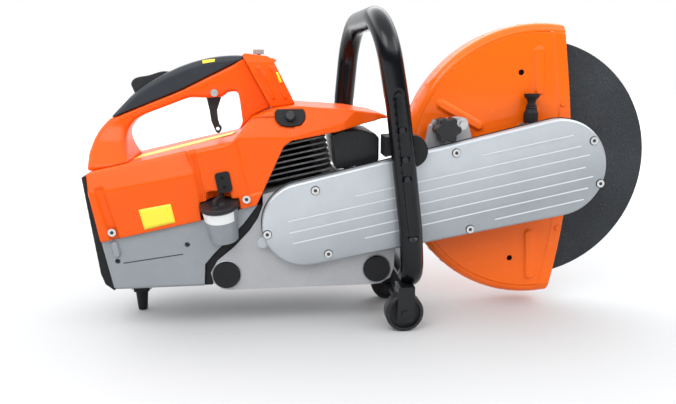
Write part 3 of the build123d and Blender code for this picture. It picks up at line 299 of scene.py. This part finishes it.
def fin_finish():
    """Black-painted cooling fins: flats keep their paint, and rims are rubbed to grey metal."""
    made = Finish("fin_black", 0.42, 0.15)
    facing = made.add("ShaderNodeNewGeometry").outputs["Normal"]
    up = (-math.sin(ARM_TILT), 0, math.cos(ARM_TILT))
    axis = made.add("ShaderNodeVectorMath", {0: facing, 1: up}, operation="DOT_PRODUCT")
    flat = made.add("ShaderNodeMath", {0: axis.outputs["Value"]}, operation="ABSOLUTE").outputs[0]
    rim = made.between(flat, 0.25, 0.6, 1, 0)
    worn = made.between(made.noise(0.006, 4), 0.35, 0.6, 0.5, 1.0)
    share = made.add("ShaderNodeMath", {0: rim, 1: worn}, operation="MULTIPLY").outputs[0]
    made.colour(made.mix(share, (0.010, 0.010, 0.011), (0.16, 0.16, 0.165)))
    made.bump(made.noise(0.0008, 3), 0.00006)
    return made


def bolt_finish():
    """Zinc-plated bolts, black where they sit in the front handle's channel."""
    made = metal("bolts", (0.62, 0.62, 0.62), 0.30, 1.0, 0.0004, 0.00001)
    depth = made.add("ShaderNodeSeparateXYZ", {0: made.place}).outputs[1]
    share = made.between(depth, -0.116, -0.114)
    plated = made.shader.inputs["Base Color"].links[0].from_socket
    made.colour(made.mix(share, (0.045, 0.045, 0.05), plated))
    return made


def cover_finish():
    """Silver paint on the belt cover, with painted shade: darker towards the bottom, a painted shadow
    on the rib walls and a painted highlight on the rib crests."""
    made = metal("silver_cover", (0.50, 0.53, 0.56), 0.36, 0.4, 0.0005, 0.000012)
    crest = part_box("belt_cover")[0].y
    depth = made.add("ShaderNodeSeparateXYZ", {0: made.place}).outputs[1]
    across = (-math.sin(ARM_TILT) - 0.10, 0, math.cos(ARM_TILT))
    height = made.add("ShaderNodeVectorMath", {0: made.place, 1: across}, operation="DOT_PRODUCT")
    level = made.add("ShaderNodeMath", {0: height.outputs["Value"], 1: 0.005}, operation="ADD").outputs[0]
    # Painted shade: the cover's silver is multiplied darker towards the bottom of the cover.
    painted_light_share = made.between(level, 0.115, 0.205)
    painted = made.shader.inputs["Base Color"].links[0].from_socket
    shade = made.mix(painted_light_share, (0.62, 0.63, 0.63), (1.0, 1.0, 1.0))
    shaded_paint = made.add("ShaderNodeMix", {"Factor": 1.0}, data_type="RGBA", blend_type="MULTIPLY")
    made.tree.links.new(painted, shaded_paint.inputs[6])
    made.tree.links.new(shade, shaded_paint.inputs[7])
    # Painted shadow on the walls of the ribs, and a painted highlight on their crests.
    rib_wall_shadow_share = made.between(depth, crest + 0.00065, crest + 0.00078, 1, 0)
    crest_highlight_share = made.between(depth, crest + 0.00006, crest + 0.00016, 1, 0)
    painted_shadow_colour = made.mix(rib_wall_shadow_share, shaded_paint.outputs[2], (0.25, 0.26, 0.27))
    made.colour(made.mix(crest_highlight_share, painted_shadow_colour, (0.70, 0.72, 0.74)))
    return made


ORANGE = (0.80, 0.094, 0.003)
finishes = {
    "orange_plastic": moulded("orange_plastic", ORANGE, 0.32, 0.0011, 0.000015, 0.03, 0.006, Coat_Weight=0.1,
                              Coat_Roughness=0.1, Specular_IOR_Level=0.16),
    "orange_paint": moulded("orange_paint", (0.93, 0.140, 0.004), 0.25, 0.0016, 0.00002, 0.025, 0.006,
                            Coat_Weight=0.25, Coat_Roughness=0.08, Specular_IOR_Level=0.18),
    "silver_tank": metal("silver_tank", (0.275, 0.295, 0.315), 0.46, 0.3, 0.0005, 0.000015),
    "silver_cast": metal("silver_cast", (0.40, 0.40, 0.415), 0.48, 0.3, 0.0011, 0.00007),
    "silver_cover": cover_finish(),
    "steel": metal("steel", (0.62, 0.62, 0.62), 0.27, 1.0, 0.0004, 0.00001, (1, 1, 6)),
    "machined": metal("machined", (0.72, 0.73, 0.74), 0.32, 1.0, 0.0004, 0.00002, (1, 6, 1)),
    "black_rubber": moulded("black_rubber", (0.012, 0.012, 0.013), 0.60, 0.0009, 0.00006,
                            Specular_IOR_Level=0.25),
    "soft_grip": moulded("soft_grip", (0.020, 0.025, 0.032), 0.50, 0.0011, 0.00008, Specular_IOR_Level=0.35),
    "black_sleeve": moulded("black_sleeve", (0.0025, 0.003, 0.0045), 0.20, 0.0012, 0.00001, dust=0.004,
                            Specular_IOR_Level=0.3),
    "black_plastic": moulded("black_plastic", (0.016, 0.016, 0.018), 0.42, 0.0006, 0.00004, dust=0.02,
                             Specular_IOR_Level=0.35),
    "black_metal": moulded("black_metal", (0.005, 0.0065, 0.008), 0.36, 0.0009, 0.00005, dust=0.02,
                           Specular_IOR_Level=0.4),
    "black_fins": fin_finish(),
    "grey_plastic": moulded("grey_plastic", (0.36, 0.37, 0.38), 0.42, 0.0006, 0.00003),
    "abrasive": abrasive_finish(),
    "yellow_zinc": metal("yellow_zinc", (0.60, 0.53, 0.27), 0.36, 0.85, 0.0009, 0.00002),
    "paper": pleated_finish(),
    "nylon": braided_finish(),
}
bolts = bolt_finish()
label_yellow = moulded("label_yellow", (0.93, 0.70, 0.035), 0.34, 0.002, 0.00001, 0.02, 0.05)
label_white = moulded("label_white", (0.80, 0.81, 0.80), 0.4, 0.002, 0.00001, 0.02, 0.06)
# Black of the printed lines, also used for the painted shadow in the screw sockets.
print_and_shadow_black = moulded("print_and_shadow_black", (0.03, 0.03, 0.035), 0.5, 0.001, 0.00001)


def paint(piece, finish):
    piece.data.materials.clear()
    piece.data.materials.append(finish.material)


for name, node in nodes.items():
    finish = bolts if name == "hex_bolts" else finishes[slot_of[name]]
    if node.data.materials:
        for index in range(len(node.data.materials)):
            node.data.materials[index] = finish.material
    else:
        node.data.materials.append(finish.material)


# ---------------------------------------------------------------- meshes
def new_piece(name, mesh, body, finish, smooth=True):
    piece = bpy.data.objects.new(name, mesh)
    bpy.context.scene.collection.objects.link(piece)
    if smooth:
        mesh.shade_smooth()
    piece.data.materials.clear()
    piece.data.materials.append(finish.material)
    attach(piece, body)
    return piece


def settled(piece):
    """The piece's mesh with its modifiers applied."""
    graph = bpy.context.evaluated_depsgraph_get()
    return bpy.data.meshes.new_from_object(piece.evaluated_get(graph))


def settle(piece):
    """Applies the piece's modifiers for good."""
    piece.data = settled(piece)
    piece.modifiers.clear()


def mesh_from(made, name):
    """A mesh of the given name from a bmesh, which is then freed."""
    mesh = bpy.data.meshes.new(name)
    made.to_mesh(mesh)
    made.free()
    return mesh


def rounded(node, voxel, rounds, keep=0.35, shape=None, soften=None, extra=0):
    """Stands for a CAD node with the same shape and soft moulded edges: a fine regular mesh, smoothed.
    Where soften gives a share above 0, extra rounds of smoothing follow."""
    mesh = nodes[node].data.copy()
    piece = bpy.data.objects.new(node + "_moulded", mesh)
    bpy.context.scene.collection.objects.link(piece)
    joined = bmesh.new()
    joined.from_mesh(mesh)
    bmesh.ops.remove_doubles(joined, verts=joined.verts, dist=1e-6)
    joined.to_mesh(mesh)
    joined.free()
    remesh = piece.modifiers.new("remesh", "REMESH")
    remesh.mode = "VOXEL"
    remesh.voxel_size = voxel
    even = piece.modifiers.new("even", "SMOOTH")
    even.factor = 0.5
    even.iterations = rounds
    settle(piece)
    if soften:
        group = piece.vertex_groups.new(name="soft")
        for vertex in piece.data.vertices:
            group.add([vertex.index], soften(vertex.co), "REPLACE")
        softer = piece.modifiers.new("softer", "SMOOTH")
        softer.factor = 0.5
        softer.iterations = extra
        softer.vertex_group = group.name
        settle(piece)
        piece.vertex_groups.clear()
    if shape:
        for vertex in piece.data.vertices:
            vertex.co = shape(vertex.co.copy())
    if keep < 1:
        fewer = piece.modifiers.new("fewer", "DECIMATE")
        fewer.ratio = keep
        settle(piece)
    piece.data.name = piece.name
    piece.data.shade_smooth()
    paint(piece, finishes[slot_of[node]])
    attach(piece, body_of[node])
    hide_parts(node)
    return piece


def ease(t):
    t = min(max(t, 0.0), 1.0)
    return t * t * (3 - 2 * t)


def beside(point, start, stop):
    """How far a point of the side view lies right of the line from start up to stop, and how far
    along it, 0 to 1."""
    x, z = point.x - start[0], point.z - start[1]
    dx, dz = stop[0] - start[0], stop[1] - start[1]
    length = math.hypot(dx, dz)
    return (x * dz - z * dx) / length, (x * dx + z * dz) / length ** 2


def near_wall(point):
    """Presses the near wall of the housing: a screw channel, the rounded end of the rear panel and the step
    before the engine."""
    if point.y > -0.080 or point.x > -0.125:
        return point
    pressed = 0.0
    off, along = beside(point, (-0.360, 0.131), (-0.377, 0.198))
    side_share = 1 - ease((abs(off) - 0.0035) / 0.0035)
    end_share = ease((1 - along) / 0.06 + 0.5)
    lip = max(0.0, 1 - abs(off + 0.0085) / 0.002) * end_share
    pressed += 0.0034 * side_share * end_share - 0.0009 * lip
    off, along = beside(point, (-0.2395, 0.176), (-0.2535, 0.247))
    if -0.014 < off < 0.003:
        sloping = ease((off + 0.012) / 0.009)
        rising = 1 - ease((off + 0.002) / 0.002)
        pressed += 0.0042 * sloping * rising * ease((along + 0.05) / 0.15) * ease((1.03 - along) / 0.05)
    off, along = beside(point, (-0.187, 0.185), (-0.202, 0.257))
    pressed += 0.0022 * ease(off / 0.006 + 0.3) * ease((along + 0.02) / 0.05)
    point.y += pressed
    return point


def above_housing(point):
    """The share of smoothing on the handle: none where it stands on the housing, meets the filter cover or
    holds the trigger in its slot."""
    if abs(point.y + 0.0035) < 0.0095 and -0.264 < point.x < -0.200 and point.z > 0.29:
        return 0.0
    height = point.z - deck_height(point.x)
    return ease((height - 0.001) / 0.012) * ease((-0.194 - point.x) / 0.012)


def housing_shoulders(point):
    """The share of smoothing on the housing: full on the outside shoulders, none at the seam with
    the tank."""
    seam_z = 0.127 + (point.x + 0.379) * 0.21
    return ease((point.z - seam_z - 0.012) / 0.02)


rounded("top_housing", 0.0013, 4, 0.30, near_wall, housing_shoulders, 9)
rounded("rear_handle", 0.0014, 4, 0.40, None, above_housing, 90)
for node, voxel, rounds, keep in (
    ("guard_side_near", 0.0010, 4, 0.22),
    ("handle_grip", 0.0012, 12, 0.35),
    ("filter_cover", 0.0009, 5, 0.35),
    ("front_handle", 0.0013, 3, 0.35),
    ("throttle_lock", 0.0007, 4, 0.4),
    ("throttle_trigger", 0.0006, 3, 0.4),
    ("star_knob", 0.0006, 3, 0.4),
    ("fuel_cap", 0.0006, 3, 0.4),
    ("gap_seal", 0.0012, 3, 0.4),
    ("muffler", 0.0012, 2, 0.35),
    ("guard_bracket", 0.0009, 3, 0.35),
    ("rear_bumper", 0.0013, 4, 0.3),
):
    rounded(node, voxel, rounds, keep)


# ---------------------------------------------------------------- labels and printed lines, all plain
def flat_plate(name, corners, normal, thick, body, finish, round_by=0.0015):
    """A thin plate with rounded corners, standing on its corner points."""
    normal = Vector(normal).normalized()
    made = bmesh.new()
    face = made.faces.new([made.verts.new(Vector(c)) for c in corners])
    bmesh.ops.bevel(made, geom=list(made.verts), offset=round_by, segments=4, profile=0.5, affect="VERTICES")
    face = list(made.faces)[0]
    up = bmesh.ops.extrude_face_region(made, geom=[face])
    raised = [part for part in up["geom"] if isinstance(part, bmesh.types.BMVert)]
    bmesh.ops.translate(made, vec=normal * thick, verts=raised)
    bmesh.ops.recalc_face_normals(made, faces=made.faces)
    return new_piece(name, mesh_from(made, name), body, finish, smooth=False)


def laid_on(name, target, corners, thick, body, finish):
    """A thin label that lies on a curved surface: side view corners, dropped on it along +Y."""
    across, down, outside = 12, 6, -0.3
    a, b, c, d = [Vector(point) for point in corners]
    made = bmesh.new()
    rows = []
    for j in range(down + 1):
        row = []
        for i in range(across + 1):
            s, t = i / across, j / down
            spot = a.lerp(b, s).lerp(d.lerp(c, s), t)
            start = Vector((spot.x, outside, spot.y))
            hit, at, normal, _ = target.ray_cast(start, Vector((0, 1, 0)))
            row.append(made.verts.new(at + normal * thick if hit else start))
        rows.append(row)
    for j in range(down):
        for i in range(across):
            made.faces.new((rows[j][i], rows[j][i + 1], rows[j + 1][i + 1], rows[j + 1][i]))
    piece = new_piece(name, mesh_from(made, name), body, finish)
    skin = piece.modifiers.new("skin", "SOLIDIFY")
    skin.thickness = thick * 0.9
    skin.offset = -1
    return piece


tank_face = -0.0865
sticker = [(-0.328, 0.170), (-0.287, 0.177), (-0.282, 0.152), (-0.322, 0.143)]
laid_on("side_label", bpy.data.objects["top_housing_moulded"], sticker, 0.0003, "frame", label_yellow)
laid_on("grip_label", bpy.data.objects["handle_grip_moulded"],
        [(-0.2455, 0.3590), (-0.2285, 0.3612), (-0.2290, 0.3575), (-0.2450, 0.3550)], 0.0003, "frame",
        label_yellow)
laid_on("cover_label", bpy.data.objects["filter_cover_moulded"],
        [(-0.1475, 0.3440), (-0.1440, 0.3435), (-0.1385, 0.3300), (-0.1420, 0.3290)], 0.0003, "frame",
        label_yellow)

line = [(-0.353, 0.0978), (-0.275, 0.1078), (-0.275, 0.1064), (-0.353, 0.0964)]
flat_plate("fuel_level_line", [(x, tank_face - 0.00005, z) for x, z in line], (0, -1, 0), 0.0002, "frame",
           print_and_shadow_black, 0.0002)

strip = [(-0.344, -0.028), (-0.210, 0.000), (-0.206, 0.034), (-0.338, 0.012)]
flat_plate("top_strip", [(x, y, deck_height(x) - 0.0001) for x, y in strip], (-0.2187, 0, 0.9758), 0.0004,
           "frame", label_yellow)


def turned(name, centre, axis, profile, body, finish, start=0.0, stop=360.0):
    """A band or ring turned about an axis: profile points are (radius, height along the axis)."""
    steps = 64
    axis = Vector(axis).normalized()
    turn = axis.to_track_quat("Z", "Y").to_matrix()
    closed = stop - start >= 359.9
    made = bmesh.new()
    rings = []
    for i in range(steps if closed else steps + 1):
        angle = math.radians(start + (stop - start) * i / steps)
        rings.append([
            made.verts.new(Vector(centre) + turn @ Vector((r * math.cos(angle), r * math.sin(angle), h)))
            for r, h in profile
        ])
    count = len(profile)
    for i in range(len(rings) - (0 if closed else 1)):
        here, there = rings[i], rings[(i + 1) % len(rings)]
        for j in range(count):
            made.faces.new((here[j], here[(j + 1) % count], there[(j + 1) % count], there[j]))
    if not closed:
        made.faces.new(rings[0])
        made.faces.new(rings[-1])
    bmesh.ops.recalc_face_normals(made, faces=made.faces)
    piece = new_piece(name, mesh_from(made, name), body, finish)
    piece.data.set_sharp_from_angle(angle=math.radians(35))
    return piece


cap_centre = Vector((-0.224, -0.094, 0.171))
cap_axis = Vector((-0.09, -0.22, 0.97)).normalized()
neck_rise = math.tan(math.radians(5.5))


def neck_radius(height):
    return 0.0186 + (0.046 + height) * neck_rise


band_top, band_foot, paper_thick = -0.0012, -0.0150, 0.0003
turned("filler_label", cap_centre, cap_axis, [
    (neck_radius(band_foot) + 0.00005, band_foot), (neck_radius(band_foot) + paper_thick, band_foot),
    (neck_radius(band_top) + paper_thick, band_top), (neck_radius(band_top) + 0.00005, band_top),
], "frame", label_white, 190, 345)

# Raised beads round the two case plugs, in the brighter cover silver: a real bead, with a painted highlight
# for the case's chamfer round each plug.
for name, x, z in (("plug_ring_rear", -0.219, 0.076), ("plug_ring_front", -0.014, 0.078)):
    turned(name, (x, -0.0841, z), (0, -1, 0), [
        (0.0186, 0), (0.0186, 0.0010), (0.0192, 0.0013), (0.0198, 0.0009), (0.0200, 0),
    ], "frame", finishes["silver_cover"])

turned("wheel_blotter", (ARBOR[0], -0.01175, ARBOR[1]), (0, 1, 0), [
    (0.0300, 0.00002), (0.0590, 0.00002), (0.0592, 0.0004), (0.0300, 0.0004),
], "spindle", label_white)


def islands(node):
    """The separate solids of a node's mesh, each as its lowest and highest corner."""
    joined = bmesh.new()
    joined.from_mesh(nodes[node].data)
    bmesh.ops.remove_doubles(joined, verts=joined.verts, dist=1e-6)
    left, boxes = set(joined.verts), []
    while left:
        heap, found = [left.pop()], []
        while heap:
            vertex = heap.pop()
            found.append(vertex.co.copy())
            for edge in vertex.link_edges:
                other = edge.other_vert(vertex)
                if other in left:
                    left.remove(other)
                    heap.append(other)
        boxes.append([Vector(pick(co[i] for co in found) for i in range(3)) for pick in (min, max)])
    joined.free()
    return boxes


def screw_socket_shadows():
    """Painted shadow: dark sheets in the sockets of the panel screws, and in the gap round the cover's screw
    heads.
    """
    made = bmesh.new()
    for low, high in islands("panel_screws"):
        x, z, head = (low.x + high.x) / 2, (low.z + high.z) / 2, low.y
        # A dark hex sheet in each socket, and a dark ring in the gap round each cover screw head: painted
        # shadow.
        socket, gap = (head + 0.00110, 0.0, 0.0025, 6), (head + 0.00290, 0.00535, 0.00605, 32)
        for y, inner, outer, sides in (socket, gap):
            if inner and head > -0.097:
                continue
            turns = [2 * math.pi * i / sides for i in range(sides)]
            rim = [made.verts.new((x + outer * math.cos(t), y, z + outer * math.sin(t))) for t in turns]
            if not inner:
                made.faces.new(rim)
                continue
            hole = [made.verts.new((x + inner * math.cos(t), y, z + inner * math.sin(t))) for t in turns]
            for i in range(sides):
                made.faces.new((rim[i], rim[(i + 1) % sides], hole[(i + 1) % sides], hole[i]))
    mesh = mesh_from(made, "screw_socket_shadows")
    new_piece("screw_socket_shadows", mesh, "frame", print_and_shadow_black, smooth=False)


screw_socket_shadows()


def hull_points(near_r, far_r, far_shift):
    """Side view points round two circles, at the crankshaft and near the arbor, in the arm's line."""
    start, stop = Vector(CRANK), Vector(ARBOR)
    along = (stop - start).normalized()
    across = Vector((-along.y, along.x))
    far = stop + along * far_shift
    lean = math.acos((near_r - far_r) / (far - start).length)
    points, count = [], 40
    for middle, radius, first, last in ((start, near_r, lean, 2 * math.pi - lean), (far, far_r, -lean, lean)):
        for i in range(count + 1):
            turn = first + (last - first) * i / count
            points.append(middle + (along * math.cos(turn) + across * math.sin(turn)) * radius)
    return points


def cover_foot_shadow():
    """A thin black band round the foot of the belt cover: painted shadow where the cover meets the case."""
    made = bmesh.new()
    rings = []
    for grow, y in ((-0.0010, -0.0841), (0.0012, -0.0841), (0.0012, -0.0850), (-0.0010, -0.0850)):
        points = hull_points(0.057 + grow, 0.067 + grow, 0.009)
        rings.append([made.verts.new((point.x, y, point.y)) for point in points])
    for k in range(4):
        here, there = rings[k], rings[(k + 1) % 4]
        for i in range(len(here)):
            j = (i + 1) % len(here)
            made.faces.new((here[i], here[j], there[j], there[i]))
    bmesh.ops.recalc_face_normals(made, faces=made.faces)
    # The band is a dark sheet of painted shadow along the foot of the cover.
    mesh = mesh_from(made, "cover_foot_shadow")
    new_piece("cover_foot_shadow", mesh, "frame", finishes["black_rubber"], smooth=False)


cover_foot_shadow()


def rim_bumps():
    """Pressed bumps along the rim of the guard, near its seam with the near side."""
    made = bmesh.new()
    hub, rim = Vector((ARBOR[0], 0, ARBOR[1])), 0.1967
    for step in range(22):
        turn = math.radians(84 + 7.6 * step)
        out = Vector((math.cos(turn), 0, math.sin(turn)))
        tangent = Vector((-out.z, 0, out.x))
        rows = []
        for j in range(5):
            share = j / 4
            rise = 0.0015 * (1 - share * share) - 0.0002
            row = []
            for i in range(20):
                spin = 2 * math.pi * i / 20
                sideways = tangent * math.cos(spin) * 0.0065 + Vector((0, 1, 0)) * math.sin(spin) * 0.0045
                spot = hub + out * rim + sideways * share + Vector((0, -0.0215, 0))
                flat = Vector((spot.x - hub.x, 0, spot.z - hub.z))
                row.append(made.verts.new(hub + flat.normalized() * (rim + rise) + Vector((0, spot.y, 0))))
            rows.append(row)
        for inner, outer in zip(rows, rows[1:]):
            for i in range(20):
                j = (i + 1) % 20
                made.faces.new((inner[i], inner[j], outer[j], outer[i]))
    bmesh.ops.remove_doubles(made, verts=made.verts, dist=1e-6)
    bmesh.ops.recalc_face_normals(made, faces=made.faces)
    mesh = mesh_from(made, "rim_bumps")
    new_piece("rim_bumps", mesh, "wheel_guard", finishes["orange_paint"])


rim_bumps()


def starter_cord():
    """The starter's rope between its reel and the grip: three strands laid up together."""
    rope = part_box("starter_rope")
    x, y = (rope[0].x + rope[1].x) / 2, (rope[0].y + rope[1].y) / 2
    foot, head = rope[0].z, rope[1].z
    sides, rings, lay = 24, 90, 0.011
    made = bmesh.new()
    loops = []
    for j in range(rings + 1):
        z = foot + (head - foot) * j / rings
        loop = []
        for i in range(sides):
            angle = 2 * math.pi * i / sides
            radius = 0.00125 + 0.00040 * abs(math.cos(1.5 * (angle - 2 * math.pi * z / lay)))
            loop.append(made.verts.new((x + radius * math.cos(angle), y + radius * math.sin(angle), z)))
        loops.append(loop)
    for below, above in zip(loops, loops[1:]):
        for i in range(sides):
            made.faces.new((below[i], below[(i + 1) % sides], above[(i + 1) % sides], above[i]))
    made.faces.new(loops[0][::-1])
    made.faces.new(loops[-1])
    mesh = mesh_from(made, "starter_cord")
    mesh.shade_smooth()
    mesh.materials.append(finishes["nylon"].material)
    piece = bpy.data.objects.new("starter_cord", mesh)
    bpy.context.scene.collection.objects.link(piece)
    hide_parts("starter_rope")
    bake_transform(piece)


starter_cord()

# ---------------------------------------------------------------- floor
floor_mesh = bpy.data.meshes.new("floor")
reach = 6.0
floor_mesh.from_pydata([(-reach, -reach, 0), (reach, -reach, 0), (reach, reach, 0), (-reach, reach, 0)], [],
                       [(0, 1, 2, 3)])
floor = bpy.data.objects.new("floor", floor_mesh)
floor.location.z = cad_box[0].z - 0.0002
bpy.context.scene.collection.objects.link(floor)
floor_finish = Finish("floor", 0.9)
floor_finish.colour(floor_finish.mix(floor_finish.noise(0.5, 2), (0.52, 0.52, 0.52), (0.54, 0.54, 0.54)))
away = floor_finish.add("ShaderNodeVectorMath", {0: floor_finish.place}, operation="LENGTH").outputs["Value"]
floor_finish.shader.inputs["Emission Color"].default_value = (1, 1, 1, 1)
glow = floor_finish.between(away, 0.55, 1.6, 0.0, 0.45)
floor_finish.tree.links.new(glow, floor_finish.shader.inputs["Emission Strength"])
floor_mesh.materials.append(floor_finish.material)
